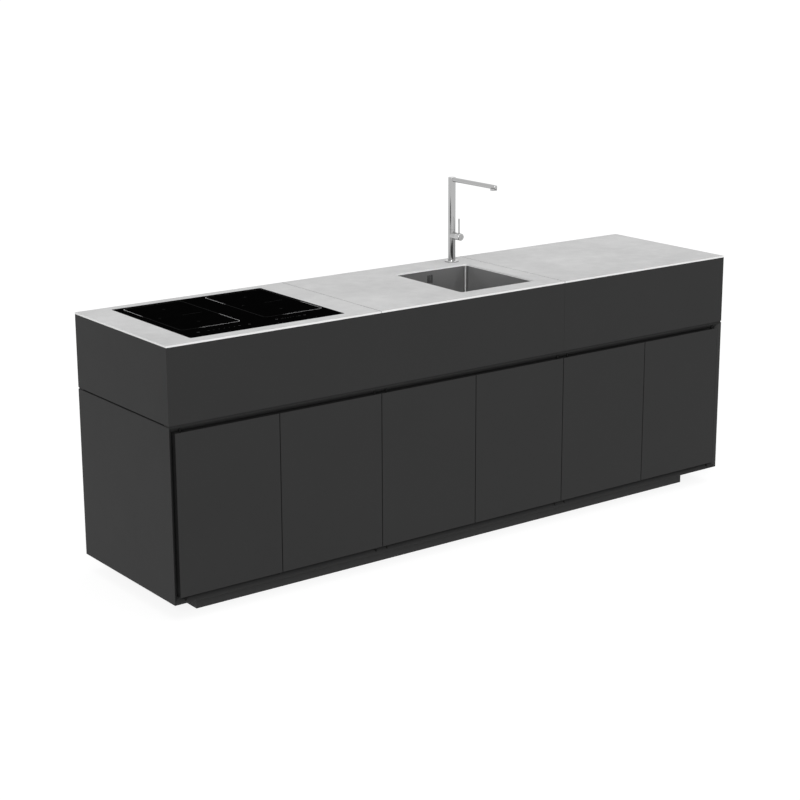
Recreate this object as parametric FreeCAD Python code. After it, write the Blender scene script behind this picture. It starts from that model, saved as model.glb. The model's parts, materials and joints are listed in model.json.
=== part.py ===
import FreeCAD, Part
import os
from math import cos, hypot, pi, radians, sin, tan

# Free-standing outdoor kitchen: a run of handle-less cupboards with a worktop,
# a glass hob, an undermounted sink and a swivel tap.
# Millimetres. X runs along the front, the front faces -Y, Z is up,
# and the origin lies on the ground under the middle of the run.

V = FreeCAD.Vector
X_AXIS = V(1, 0, 0)
Y_AXIS = V(0, 1, 0)
Z_AXIS = V(0, 0, 1)

# Overall size
width = 2424.0
depth = 600.0
worktop_height = 900.0
bay_names = ("left", "middle", "right")

# Boards and bevels
panel = 18.0
edge_land = 0.8
shadow_gap = 5.5
fascia_height = 248.0
fascia_joint = 0.6

# Plinth
plinth_height = 60.0
plinth_front_inset = 72.0
plinth_end_inset = 118.0

# Spacer strips inside the shadow gap
spacer_setback = 2.0
spacer_width = 30.0

# Worktop
slab_thick = 6.0
slab_joint = 1.6
subtop_thick = 12.0
cleat = 20.0

# Doors
door_thick = 18.0
door_gap = 3.0
door_land = 1.0
door_slot = 21.0

# Door pivots
pivot_inset = 22.0
pivot_depth = 8.0
pin_radius = 3.0
pin_clear = 0.05
pin_reach = 30.0
pin_cover = 2.0
pin_end_play = 0.2
swing_clear = 1.0

# Door stops and bumpers
stop_height = 60.0
batten_width = 40.0
bumper_radius = 6.0
bumper_play = 0.3
bumper_edge = 40.0
bumper_rise = 14.0

# Shelves
shelf_level = 330.0
shelf_clear = 1.0
shelf_setback = 8.0
shelf_pin_radius = 2.5
shelf_pin_out = 10.0
shelf_pin_in = 8.0
shelf_pin_edge = 60.0
shelf_pin_play = 0.1

# Hob
hob_width = 580.0
hob_front_margin = 47.5
hob_rear_margin = 38.5
hob_joint = 1.0
hob_glass_thick = 4.0
hob_corner = 5.0
hob_bevel = 0.8
hob_lip = 10.0
hob_seal_inset = 2.0
hob_tray_depth = 50.0
hob_tray_wall = 1.2
hob_tray_clear = 4.0
coil_radius = 76.0
coil_eye = 26.0
coil_thick = 9.0
coil_pitch_x = 270.0
coil_margin = 46.0
coil_glass_gap = 5.0
coil_plate_thick = 2.0
coil_plate_clear = 3.0

# Sink
sink_open_x = 334.0
sink_joint_margin = 76.0
sink_front_margin = 76.0
sink_rear_margin = 130.0
sink_corner = 12.0
sink_overhang = 1.5
sink_wall = 1.5
sink_depth = 180.0
sink_floor_radius = 10.0
sink_flange = 22.0
sink_flange_clear = 2.0
clip_length = 20.0
clip_thick = 2.0
clip_foot = 20.0
clip_lip = 14.0
clip_spread = 0.28
overflow_drop = 17.0
overflow_slot_count = 3
overflow_slot_width = 5.0
overflow_slot_pitch = 9.0
overflow_slot_height = 30.0
overflow_depth = 20.0
overflow_margin = 8.0
overflow_wall = 2.0
overflow_spigot_radius = 9.0
overflow_spigot_length = 18.0

# Sink waste, trap and drain
waste_radius = 44.0
waste_wall = 1.5
waste_hole_clear = 1.0
waste_flange_radius = 56.0
waste_flange_thick = 1.5
waste_depth = 45.0
waste_cone = 9.0
waste_nut_radius = 54.0
waste_nut_thick = 12.0
tail_radius = 20.0
tail_wall = 2.0
tail_drop = 40.0
service_hole_radius = 60.0
basket_clear = 1.5
basket_wall = 1.2
basket_seat_gap = 0.3
basket_rim_drop = 1.0
basket_stem_radius = 3.0
basket_knob_radius = 8.0
basket_knob_drop = 6.0
basket_hole_radius = 3.0
basket_hole_rings = ((6, 16.0), (12, 29.0))
trap_collar_radius = 26.0
trap_collar_height = 24.0
trap_radius = 34.0
trap_shoulder = 10.0
trap_length = 110.0
trap_wall = 3.0
trap_outlet_drop = 32.0
trap_outlet_length = 64.0
drain_socket_radius = 24.0
drain_socket_length = 24.0
drain_rear_margin = 132.0
drain_bend = 40.0
drain_below = 40.0
drain_collar_thick = 6.0
drain_hole_clear = 2.0

# Tap
tap_joint_margin = 88.0
tap_rear_margin = 60.0
tap_hole_radius = 17.5
tap_radius = 14.0
tap_height = 318.0
tap_ring_radius = 26.5
tap_ring_thick = 5.0
tap_ring_chamfer = 1.5
tap_fit = 0.05
tap_hub_level = 100.0
tap_hub_radius = 13.5
tap_hub_length = 30.0
tap_swivel_level = 122.0
tap_swivel_gap = 0.3
tap_spigot_radius = 10.0
tap_spigot_length = 28.0
spout_radius = 8.25
spout_reach = 256.0
spout_round = 4.0
spout_bore = 6.0
spout_top_round = 1.2
aerator_radius = 12.5
aerator_height = 4.0
aerator_bore = 8.5
aerator_setback = 13.0
cap_length = 26.0
cap_round = 2.0
cap_gap = 0.3
cap_spigot_radius = 7.0
cap_spigot_length = 5.0
lever_radius = 3.0
lever_top = 68.0
lever_reach = 43.5
lever_pivot_rise = 3.0
lever_hub_radius = 3.5
lever_hub_half = 6.0
lever_clear = 0.35
lever_tilt = 25.0
shank_radius = 16.0
shank_length = 62.0
nut_radius = 21.0
nut_thick = 12.0
inlet_radius = 5.0
inlet_length = 16.0
inlet_pitch = 15.0

# Levels, edges and bays worked out from the sizes above
half_w = width / 2
half_d = depth / 2
front = -half_d
inner_x = half_w - panel
inner_y = half_d - panel
slab_base = worktop_height - slab_thick
subtop_base = slab_base - subtop_thick
fascia_base = slab_base - fascia_height
lower_top = fascia_base - shadow_gap
lower_base = plinth_height
cupboard_top = lower_top - panel
cupboard_base = lower_base + panel
bay = width / len(bay_names)
bay_edges = [-half_w + bay * i for i in range(len(bay_names) + 1)]
door_pitch = bay / 2
door_count = 2 * len(bay_names)
door_top = lower_top - door_slot
door_base = lower_base + door_slot
door_back = front + door_thick
door_undercut = door_thick - door_land
pivot_y = front + pivot_depth
tail_swing = hypot(pivot_inset, door_thick - pivot_depth) - (door_thick - pivot_depth)
stop_front = door_back + tail_swing + swing_clear
stop_back = stop_front + panel
hob_x = (bay_edges[0] + bay_edges[1]) / 2
hob_depth = depth - hob_front_margin - hob_rear_margin
hob_y = front + hob_front_margin + hob_depth / 2
hob_glass_base = worktop_height - hob_glass_thick
coil_pitch_y = hob_depth - 2 * coil_margin - 2 * coil_radius
sink_open_y = depth - sink_front_margin - sink_rear_margin
sink_x = bay_edges[2] - sink_joint_margin - sink_open_x / 2
sink_y = front + sink_front_margin + sink_open_y / 2
bowl_floor = slab_base - sink_depth
tail_end = cupboard_top - tail_drop
drain_run_y = inner_y - drain_rear_margin
tap_x = bay_edges[2] - tap_joint_margin
tap_y = half_d - tap_rear_margin
hub_level = worktop_height + tap_hub_level
tap_top = worktop_height + tap_height


def box(x0, x1, y0, y1, z0, z1):
    return Part.makeBox(x1 - x0, y1 - y0, z1 - z0, V(x0, y0, z0))


def rod(start, axis, radius, length):
    return Part.makeCylinder(radius, length, start, axis)


def face_of(points):
    return Part.Face(Part.makePolygon(points + points[:1]))


def upright(points, z0, z1):
    """A flat outline given in X and Y, raised from z0 to z1."""
    return face_of([V(x, y, z0) for x, y in points]).extrude(V(0, 0, z1 - z0))


def turned(profile, x, y):
    """An outline given in radius and height, turned about the upright axis at x, y."""
    return face_of([V(x + r, y, z) for r, z in profile]).revolve(V(x, y, 0), Z_AXIS, 360)


def tapered(front_rect, y0, back_rect, y1):
    """A block whose front and back are rectangles given as x0, x1, z0, z1."""
    wires = []
    for (x0, x1, z0, z1), y in ((front_rect, y0), (back_rect, y1)):
        corners = [V(x0, y, z0), V(x1, y, z0), V(x1, y, z1), V(x0, y, z1)]
        wires.append(Part.makePolygon(corners + corners[:1]))
    return Part.makeLoft(wires, True, True)


def is_upright(edge):
    start, end = edge.Vertexes[0].Point, edge.Vertexes[-1].Point
    return hypot(start.x - end.x, start.y - end.y) < 1e-6 < abs(start.z - end.z)


def rounded_box(x0, x1, y0, y1, z0, z1, radius):
    block = box(x0, x1, y0, y1, z0, z1)
    return block.makeFillet(radius, [edge for edge in block.Edges if is_upright(edge)])


def edges_at(shape, level):
    return [edge for edge in shape.Edges
            if all(abs(vertex.Z - level) < 1e-6 for vertex in edge.Vertexes)]


def mirrored(shape):
    return shape.mirror(V(0, 0, 0), X_AXIS)


def save(name, *solids):
    shape = solids[0] if len(solids) == 1 else Part.makeCompound(list(solids))
    shape.exportStep("parts/" + name + ".step")


def bay_inside(index):
    """The clear X range of one cupboard, between the boards at its two ends."""
    last = len(bay_names) - 1
    left = -inner_x if index == 0 else bay_edges[index] + panel / 2
    right = inner_x if index == last else bay_edges[index + 1] - panel / 2
    return left, right


def door_span(index):
    """The X range of a door's front face, and the X of its pivot axis."""
    left = -half_w + index * door_pitch + door_gap / 2
    right = left + door_pitch - door_gap
    if index == 0:
        left = -half_w + door_slot
    if index == door_count - 1:
        right = half_w - door_slot
    opens_from_right = index % 2 == 1
    pivot_x = right - pivot_inset if opens_from_right else left + pivot_inset
    return left, right, pivot_x


def plinth():
    end = half_w - plinth_end_inset
    face = half_d - plinth_front_inset
    back_of_rail = face - panel
    save("plinth_front", box(-end, end, -face, -back_of_rail, 0, lower_base))
    save("plinth_rear", box(-end, end, back_of_rail, face, 0, lower_base))
    middles = [-end + panel / 2] + bay_edges[1:-1] + [end - panel / 2]
    rails = [box(x - panel / 2, x + panel / 2, -back_of_rail, back_of_rail, 0, lower_base)
             for x in middles]
    save("plinth_cross_rails", *rails)


def pin_holes(z0, z1):
    spans = [door_span(i) for i in range(door_count)]
    holes = [rod(V(pivot_x, pivot_y, z0), Z_AXIS, pin_radius + pin_clear, z1 - z0)
             for left, right, pivot_x in spans]
    return Part.makeCompound(holes)


def frame_board(outline):
    """A board of the lower frame: mitred ends, front edge bevelled to a thin land."""
    board = face_of([V(x, front, z) for x, z in outline]).extrude(V(0, depth, 0))
    mouth = half_w - edge_land
    funnel = tapered((-mouth, mouth, lower_base + edge_land, lower_top - edge_land), front,
                     (-inner_x, inner_x, cupboard_base, cupboard_top), front + panel - edge_land)
    return board.cut(funnel)


def lower_frame():
    side = frame_board([(-half_w, lower_base), (-inner_x, cupboard_base),
                        (-inner_x, cupboard_top), (-half_w, lower_top)])
    sides = {"left": side, "right": mirrored(side)}
    holes = {"left": shelf_pin_holes(0), "right": shelf_pin_holes(len(bay_names) - 1)}
    for name in sides:
        save("lower_side_" + name, sides[name].cut(holes[name]))
    top = frame_board([(-half_w, lower_top), (half_w, lower_top),
                       (inner_x, cupboard_top), (-inner_x, cupboard_top)])
    top = top.cut(pin_holes(cupboard_top - 1, lower_top - pin_cover))
    service = rod(V(sink_x, sink_y, cupboard_top - 1), Z_AXIS, service_hole_radius, panel + 2)
    save("lower_top", top.cut(service))
    bottom = frame_board([(-half_w, lower_base), (half_w, lower_base),
                          (inner_x, cupboard_base), (-inner_x, cupboard_base)])
    bottom = bottom.cut(pin_holes(lower_base + pin_cover, cupboard_base + 1))
    drain = rod(V(sink_x, drain_run_y, lower_base - 1), Z_AXIS,
                tail_radius + drain_hole_clear, panel + 2)
    save("lower_bottom", bottom.cut(drain))
    save("lower_back", box(-inner_x, inner_x, inner_y, half_d, cupboard_base, cupboard_top))


def partitions():
    for index in (1, 2):
        middle = bay_edges[index]
        board = box(middle - panel / 2, middle + panel / 2, stop_front, inner_y,
                    cupboard_base, cupboard_top)
        beside = 0 if index == 1 else len(bay_names) - 1
        side = "left" if index == 1 else "right"
        save("partition_" + side, board.cut(shelf_pin_holes(beside)))


def door_stops():
    rails = []
    for index in range(len(bay_names)):
        left, right = bay_inside(index)
        rails.append(box(left, right, stop_front, stop_back,
                         cupboard_top - stop_height, cupboard_top))
        rails.append(box(left, right, stop_front, stop_back,
                         cupboard_base, cupboard_base + stop_height))
    batten = box(-inner_x, -inner_x + batten_width, stop_front, stop_back,
                 cupboard_base + stop_height, cupboard_top - stop_height)
    save("door_stops", *rails, batten, mirrored(batten))


def door_bumpers():
    """A soft stud on each stop rail, near the free edge of every door."""
    levels = (door_top - door_undercut - bumper_rise, door_base + door_undercut + bumper_rise)
    length = stop_front - door_back - bumper_play
    studs = []
    for index in range(door_count):
        left, right, pivot_x = door_span(index)
        x = left + bumper_edge if pivot_x > (left + right) / 2 else right - bumper_edge
        for z in levels:
            studs.append(rod(V(x, stop_front - length, z), Y_AXIS, bumper_radius, length))
    save("door_bumpers", *studs)


def door(index):
    """A flat front whose top, bottom and outer edges slope back to make the finger grip."""
    left, right, pivot_x = door_span(index)
    back_left = left + (door_undercut if index == 0 else 0)
    back_right = right - (door_undercut if index == door_count - 1 else 0)
    face = (left, right, door_base, door_top)
    back = (back_left, back_right, door_base + door_undercut, door_top - door_undercut)
    leaf = box(left, right, front, front + door_land, door_base, door_top)
    leaf = leaf.fuse(tapered(face, front + door_land, back, door_back)).removeSplitter()
    bore = pin_radius + pin_clear
    reach = pin_reach + pin_end_play
    leaf = leaf.cut(rod(V(pivot_x, pivot_y, door_top - reach), Z_AXIS, bore, reach + 1))
    return leaf.cut(rod(V(pivot_x, pivot_y, door_base - 1), Z_AXIS, bore, reach + 1))


def doors():
    pins = []
    for index in range(door_count):
        save("door_%d" % (index + 1), door(index))
        pivot_x = door_span(index)[2]
        upper = V(pivot_x, pivot_y, door_top - pin_reach)
        lower = V(pivot_x, pivot_y, lower_base + pin_cover)
        pins.append(rod(upper, Z_AXIS, pin_radius, lower_top - pin_cover - upper.z))
        pins.append(rod(lower, Z_AXIS, pin_radius, door_base + pin_reach - lower.z))
    save("pivot_pins", *pins)


def shelf_pins(index, radius):
    """Four pegs, half in the cupboard's end boards and half under the shelf."""
    left, right = bay_inside(index)
    z = shelf_level - shelf_pin_radius - shelf_pin_play
    length = shelf_pin_in + shelf_pin_out
    pegs = []
    for y in (stop_back + shelf_setback + shelf_pin_edge, inner_y - shelf_pin_edge):
        pegs.append(rod(V(left - shelf_pin_in, y, z), X_AXIS, radius, length))
        pegs.append(rod(V(right - shelf_pin_out, y, z), X_AXIS, radius, length))
    return pegs


def shelf_pin_holes(index):
    return Part.makeCompound(shelf_pins(index, shelf_pin_radius + pin_clear))


def shelves():
    pegs = []
    for name, index in (("left", 0), ("right", len(bay_names) - 1)):
        left, right = bay_inside(index)
        save("shelf_" + name,
             box(left + shelf_clear, right - shelf_clear, stop_back + shelf_setback,
                 inner_y - shelf_clear, shelf_level, shelf_level + panel))
        pegs += shelf_pins(index, shelf_pin_radius)
    save("shelf_pins", *pegs)


def spacers():
    end = half_w - spacer_setback
    front_face = front + spacer_setback
    rear_face = half_d - spacer_setback
    y0 = front_face + spacer_width
    y1 = rear_face - spacer_width
    save("spacer_front", box(-end, end, front_face, y0, lower_top, fascia_base))
    save("spacer_rear", box(-end, end, y1, rear_face, lower_top, fascia_base))
    middles = [-end + spacer_width / 2] + bay_edges[1:-1] + [end - spacer_width / 2]
    strips = [box(x - spacer_width / 2, x + spacer_width / 2, y0, y1, lower_top, fascia_base)
              for x in middles]
    save("spacer_cross_strips", *strips)


def upper_frame():
    """The band under the worktop: mitred boards, one open joint in the front."""
    joint = bay_edges[2]
    left_part = [(-half_w, front), (joint - fascia_joint / 2, front),
                 (joint - fascia_joint / 2, -inner_y), (-inner_x, -inner_y)]
    right_part = [(joint + fascia_joint / 2, front), (half_w, front),
                  (inner_x, -inner_y), (joint + fascia_joint / 2, -inner_y)]
    rear = [(-half_w, half_d), (half_w, half_d), (inner_x, inner_y), (-inner_x, inner_y)]
    end = [(-half_w, -half_d), (-inner_x, -inner_y), (-inner_x, inner_y), (-half_w, half_d)]
    save("fascia_front_long", upright(left_part, fascia_base, slab_base))
    save("fascia_front_short", upright(right_part, fascia_base, slab_base))
    save("fascia_rear", upright(rear, fascia_base, slab_base))
    left_end = upright(end, fascia_base, slab_base)
    save("upper_side_left", left_end)
    save("upper_side_right", mirrored(left_end))
    for name, middle in (("left", bay_edges[1]), ("right", bay_edges[2])):
        save("upper_divider_" + name, box(middle - panel / 2, middle + panel / 2,
                                          -inner_y, inner_y, fascia_base, subtop_base))
    cleats = []
    for index in range(len(bay_names)):
        left, right = bay_inside(index)
        rail = box(left, right, -inner_y, -inner_y + cleat, subtop_base - cleat, subtop_base)
        cleats += [rail, rail.mirror(V(0, 0, 0), Y_AXIS)]
    save("subtop_cleats", *cleats)


def hob_rect(inset, z0, z1, radius):
    half_x = hob_width / 2 - inset
    half_y = hob_depth / 2 - inset
    return rounded_box(hob_x - half_x, hob_x + half_x, hob_y - half_y, hob_y + half_y,
                       z0, z1, radius)


def sink_rect(grow, z0, z1, radius):
    half_x = sink_open_x / 2 + grow
    half_y = sink_open_y / 2 + grow
    return rounded_box(sink_x - half_x, sink_x + half_x, sink_y - half_y, sink_y + half_y,
                       z0, z1, radius)


def tap_hole(z0, z1):
    return rod(V(tap_x, tap_y, z0), Z_AXIS, tap_hole_radius, z1 - z0)


def worktop():
    """Three thin slabs on backing boards, cut for the hob, the sink and the tap."""
    over = worktop_height + 1
    under = subtop_base - 1
    seat = sink_overhang + sink_flange + sink_flange_clear
    slab_cuts = {"left": [hob_rect(-hob_joint, under, over, hob_corner + hob_joint)],
                 "middle": [sink_rect(0, under, over, sink_corner), tap_hole(under, over)],
                 "right": []}
    board_cuts = {"left": [hob_rect(hob_lip, under, over, hob_corner)],
                  "middle": [sink_rect(seat, under, over, sink_corner), tap_hole(under, over)],
                  "right": []}
    last = len(bay_names) - 1
    for index, name in enumerate(bay_names):
        left = bay_edges[index] + (slab_joint / 2 if index > 0 else 0)
        right = bay_edges[index + 1] - (slab_joint / 2 if index < last else 0)
        slab = box(left, right, front, half_d, slab_base, worktop_height)
        board = box(max(left, -inner_x), min(right, inner_x), -inner_y, inner_y,
                    subtop_base, slab_base)
        for tool in slab_cuts[name]:
            slab = slab.cut(tool)
        for tool in board_cuts[name]:
            board = board.cut(tool)
        save("slab_" + name, slab)
        save("subtop_" + name, board)


def hob():
    """Glass set flush in the slab on a seal, with a tray of coils hung under it."""
    glass = hob_rect(0, hob_glass_base, worktop_height, hob_corner)
    save("hob_glass", glass.makeChamfer(hob_bevel, edges_at(glass, worktop_height)))
    seal = hob_rect(hob_seal_inset, slab_base, hob_glass_base, hob_corner)
    save("hob_seal", seal.cut(hob_rect(hob_lip, slab_base, hob_glass_base, hob_corner)))
    tray_inset = hob_lip + hob_tray_clear
    floor = hob_glass_base - hob_tray_depth
    tray = hob_rect(tray_inset, floor, hob_glass_base, hob_corner)
    hollow = hob_rect(tray_inset + hob_tray_wall, floor + hob_tray_wall, hob_glass_base + 1,
                      hob_corner - hob_tray_wall)
    save("hob_tray", tray.cut(hollow))
    plate_top = hob_glass_base - coil_glass_gap - coil_thick
    plate_inset = tray_inset + hob_tray_wall + coil_plate_clear
    plate = hob_rect(plate_inset, floor + hob_tray_wall, plate_top, hob_corner)
    half_x = hob_width / 2 - plate_inset - coil_plate_thick
    under = box(hob_x - half_x, hob_x + half_x, -half_d, half_d, floor, plate_top - coil_plate_thick)
    save("hob_coil_plate", plate.cut(under))
    coils = []
    for side in (-1, 1):
        for row in (-1, 1):
            foot = V(hob_x + side * coil_pitch_x / 2, hob_y + row * coil_pitch_y / 2, plate_top)
            disc = rod(foot, Z_AXIS, coil_radius, coil_thick)
            coils.append(disc.cut(rod(foot, Z_AXIS, coil_eye, coil_thick)))
    save("hob_coils", *coils)


def bowl_shell(grow, floor, top, corner, floor_radius):
    shell = sink_rect(sink_overhang + grow, floor, top, corner)
    return shell.makeFillet(floor_radius, edges_at(shell, floor))


def overflow_slots(back):
    """Upright slots through the bowl's rear wall."""
    z1 = slab_base - overflow_drop
    slots = []
    for i in range(overflow_slot_count):
        x = sink_x + (i - (overflow_slot_count - 1) / 2) * overflow_slot_pitch
        slots.append(box(x - overflow_slot_width / 2, x + overflow_slot_width / 2,
                         back - sink_wall, back + 2 * sink_wall,
                         z1 - overflow_slot_height, z1))
    return Part.makeCompound(slots)


def sink():
    back = sink_y + sink_open_y / 2 + sink_overhang
    flange = sink_rect(sink_overhang + sink_flange, slab_base - sink_wall, slab_base,
                       sink_corner + sink_flange)
    outer = bowl_shell(sink_wall, bowl_floor - sink_wall, slab_base,
                       sink_corner + sink_wall, sink_floor_radius + sink_wall)
    inner = bowl_shell(0, bowl_floor, slab_base + 1, sink_corner, sink_floor_radius)
    bowl = flange.fuse(outer).removeSplitter().cut(inner)
    bowl = bowl.cut(rod(V(sink_x, sink_y, bowl_floor - 2 * sink_wall), Z_AXIS,
                        waste_radius + waste_hole_clear, 3 * sink_wall))
    save("sink_bowl", bowl.cut(overflow_slots(back)))
    overflow(back + sink_wall)
    sink_clips()


def overflow(wall):
    """A small box over the back of the slots, with a spigot for the overflow pipe."""
    half = (overflow_slot_count * overflow_slot_pitch) / 2 + overflow_margin
    z1 = slab_base - overflow_drop + overflow_margin / 2
    z0 = slab_base - overflow_drop - overflow_slot_height - overflow_margin
    shell = box(sink_x - half, sink_x + half, wall, wall + overflow_depth, z0, z1)
    hollow = box(sink_x - half + overflow_wall, sink_x + half - overflow_wall, wall,
                 wall + overflow_depth - overflow_wall, z0 + overflow_wall, z1 - overflow_wall)
    foot = V(sink_x, wall + overflow_depth / 2, z0 - overflow_spigot_length)
    length = overflow_spigot_length + overflow_wall
    shell = shell.cut(hollow).fuse(rod(foot, Z_AXIS, overflow_spigot_radius, length))
    save("overflow_housing",
         shell.cut(rod(foot, Z_AXIS, overflow_spigot_radius - overflow_wall, length)))


def sink_clips():
    """Stepped clips that hold the bowl's flange up, screwed under the backing board."""
    flange_edge = sink_flange - clip_thick / 4
    riser_out = flange_edge + clip_thick
    lip_top = slab_base - sink_wall
    foot_end = riser_out + clip_foot
    foot_base = subtop_base - clip_thick
    profile = [(flange_edge - clip_lip, lip_top - clip_thick), (flange_edge - clip_lip, lip_top),
               (riser_out, lip_top), (riser_out, subtop_base), (foot_end, subtop_base),
               (foot_end, foot_base), (flange_edge, foot_base),
               (flange_edge, lip_top - clip_thick)]
    half_x = sink_open_x / 2 + sink_overhang
    half_y = sink_open_y / 2 + sink_overhang
    clips = []
    for turn, reach, along in ((0, half_x, sink_open_y), (180, half_x, sink_open_y),
                               (90, half_y, sink_open_x)):
        for side in (-1, 1):
            shift = side * clip_spread * along
            clip = face_of([V(reach + u, shift - clip_length / 2, z) for u, z in profile])
            clip = clip.extrude(V(0, clip_length, 0))
            clip.rotate(V(0, 0, 0), Z_AXIS, turn)
            clip.translate(V(sink_x, sink_y, 0))
            clips.append(clip)
    save("sink_clips", *clips)


def sink_waste():
    """The strainer waste: a flange in the bowl, a cup below it and a tail pipe."""
    flange_top = bowl_floor + waste_flange_thick
    cup_base = bowl_floor - waste_depth
    cone_base = cup_base - waste_cone
    bore = waste_radius - waste_wall
    tail_bore = tail_radius - tail_wall
    body = turned([(waste_flange_radius, flange_top), (waste_flange_radius, bowl_floor),
                   (waste_radius, bowl_floor), (waste_radius, cup_base), (tail_radius, cone_base),
                   (tail_radius, tail_end), (tail_bore, tail_end),
                   (tail_bore, cone_base + waste_wall), (bore, cup_base + waste_wall),
                   (bore, flange_top)], sink_x, sink_y)
    save("sink_waste", body)
    nut_top = bowl_floor - sink_wall
    nut_base = nut_top - waste_nut_thick
    inside = waste_radius + pin_clear
    save("waste_nut", turned([(inside, nut_base), (waste_nut_radius, nut_base),
                              (waste_nut_radius, nut_top), (inside, nut_top)], sink_x, sink_y))


def strainer_basket():
    """A lift-out cup with a drilled floor and a knob, resting on the waste's cone."""
    bore = waste_radius - waste_wall
    tail_bore = tail_radius - tail_wall
    outside = bore - basket_clear
    rise = waste_cone * (outside - tail_bore) / (bore - tail_bore)
    base = bowl_floor - waste_depth - waste_cone + waste_wall + rise + basket_seat_gap
    floor = base + basket_wall
    top = bowl_floor + waste_flange_thick - basket_rim_drop
    inside = outside - basket_wall
    knob_top = top - basket_knob_drop
    knob_base = knob_top - basket_knob_radius
    cup = turned([(0, base), (outside, base), (outside, top), (inside, top), (inside, floor),
                  (basket_stem_radius, floor), (basket_stem_radius, knob_base),
                  (basket_knob_radius, knob_base), (basket_knob_radius, knob_top),
                  (0, knob_top)], sink_x, sink_y)
    holes = []
    for count, ring in basket_hole_rings:
        for i in range(count):
            turn = 2 * pi * i / count
            foot = V(sink_x + ring * cos(turn), sink_y + ring * sin(turn), base - 1)
            holes.append(rod(foot, Z_AXIS, basket_hole_radius, basket_wall + 2))
    save("strainer_basket", cup.cut(Part.makeCompound(holes)))


def waste_trap():
    """A bottle trap hung on the tail pipe, with its outlet towards the rear."""
    collar_top = tail_end + trap_collar_height
    shoulder = tail_end - trap_wall
    body_top = shoulder - trap_shoulder
    base = body_top - trap_length
    tail_bore = tail_radius - tail_wall
    inside = trap_radius - trap_wall
    fit = tail_radius + pin_clear
    outer = turned([(0, collar_top), (trap_collar_radius, collar_top), (trap_collar_radius, shoulder),
                    (trap_radius, body_top), (trap_radius, base), (0, base)], sink_x, sink_y)
    outlet_z = body_top - trap_outlet_drop
    start = V(sink_x, sink_y, outlet_z)
    outer = outer.fuse(rod(start, Y_AXIS, tail_radius, trap_outlet_length))
    cavity = turned([(0, collar_top + 1), (fit, collar_top + 1), (fit, tail_end),
                     (tail_bore, tail_end), (tail_bore, body_top), (inside, body_top),
                     (inside, base + trap_wall), (0, base + trap_wall)], sink_x, sink_y)
    bore = rod(start, Y_AXIS, tail_bore, trap_outlet_length)
    save("waste_trap", outer.cut(cavity).cut(bore))
    drain_pipe(outlet_z)


def drain_run(outlet_z, radius, y0, z_end):
    """A level pipe that bends down: two straight runs and a quarter turn between them."""
    bend_y = drain_run_y - drain_bend
    bend_z = outlet_z - drain_bend
    level = rod(V(sink_x, y0, outlet_z), Y_AXIS, radius, bend_y - y0)
    disc = Part.Face(Part.Wire(Part.makeCircle(radius, V(sink_x, bend_y, outlet_z), Y_AXIS)))
    bend = disc.revolve(V(sink_x, bend_y, bend_z), V(-1, 0, 0), 90)
    drop = rod(V(sink_x, drain_run_y, z_end), Z_AXIS, radius, bend_z - z_end)
    return level.fuse(bend).fuse(drop)


def drain_pipe(outlet_z):
    stub_end = sink_y + trap_outlet_length
    z_end = lower_base - drain_below
    tail_bore = tail_radius - tail_wall
    pipe = drain_run(outlet_z, tail_radius, stub_end, z_end)
    socket_start = V(sink_x, stub_end - drain_socket_length, outlet_z)
    pipe = pipe.fuse(rod(socket_start, Y_AXIS, drain_socket_radius, 2 * drain_socket_length))
    collar = V(sink_x, drain_run_y, lower_base - drain_collar_thick)
    pipe = pipe.fuse(rod(collar, Z_AXIS, drain_socket_radius, drain_collar_thick))
    bore = drain_run(outlet_z, tail_bore, stub_end - 1, z_end - 1)
    pocket = rod(socket_start, Y_AXIS, tail_radius + pin_clear, drain_socket_length)
    save("waste_pipe", pipe.cut(bore).cut(pocket))


def tap_base():
    foot = V(tap_x, tap_y, worktop_height)
    ring = rod(foot, Z_AXIS, tap_ring_radius, tap_ring_thick)
    ring = ring.makeChamfer(tap_ring_chamfer, edges_at(ring, worktop_height + tap_ring_thick))
    save("tap_base_ring", ring.cut(rod(foot, Z_AXIS, tap_radius + tap_fit, tap_ring_thick)))
    shank_end = worktop_height - shank_length
    shank = rod(V(tap_x, tap_y, shank_end), Z_AXIS, shank_radius, shank_length)
    for side in (-1, 1):
        inlet = V(tap_x + side * inlet_pitch / 2, tap_y, shank_end - inlet_length)
        shank = shank.fuse(rod(inlet, Z_AXIS, inlet_radius, inlet_length))
    save("tap_shank", shank)
    nut_base = V(tap_x, tap_y, subtop_base - nut_thick)
    nut = rod(nut_base, Z_AXIS, nut_radius, nut_thick)
    save("tap_nut", nut.cut(rod(nut_base, Z_AXIS, shank_radius + tap_fit, nut_thick)))


def tap_column():
    """The fixed column, its side hub, and the spigots that the spout and cap turn on."""
    column = rod(V(tap_x, tap_y, worktop_height), Z_AXIS, tap_radius, tap_swivel_level)
    spigot = rod(V(tap_x, tap_y, worktop_height + tap_swivel_level), Z_AXIS,
                 tap_spigot_radius, tap_spigot_length)
    centre = V(tap_x, tap_y, hub_level)
    hub = rod(centre, -Y_AXIS, tap_hub_radius, tap_hub_length)
    nose = rod(V(tap_x, tap_y - tap_hub_length, hub_level), -Y_AXIS,
               cap_spigot_radius, cap_spigot_length)
    save("tap_column", column.fuse(spigot).fuse(hub).fuse(nose).removeSplitter())


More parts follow.
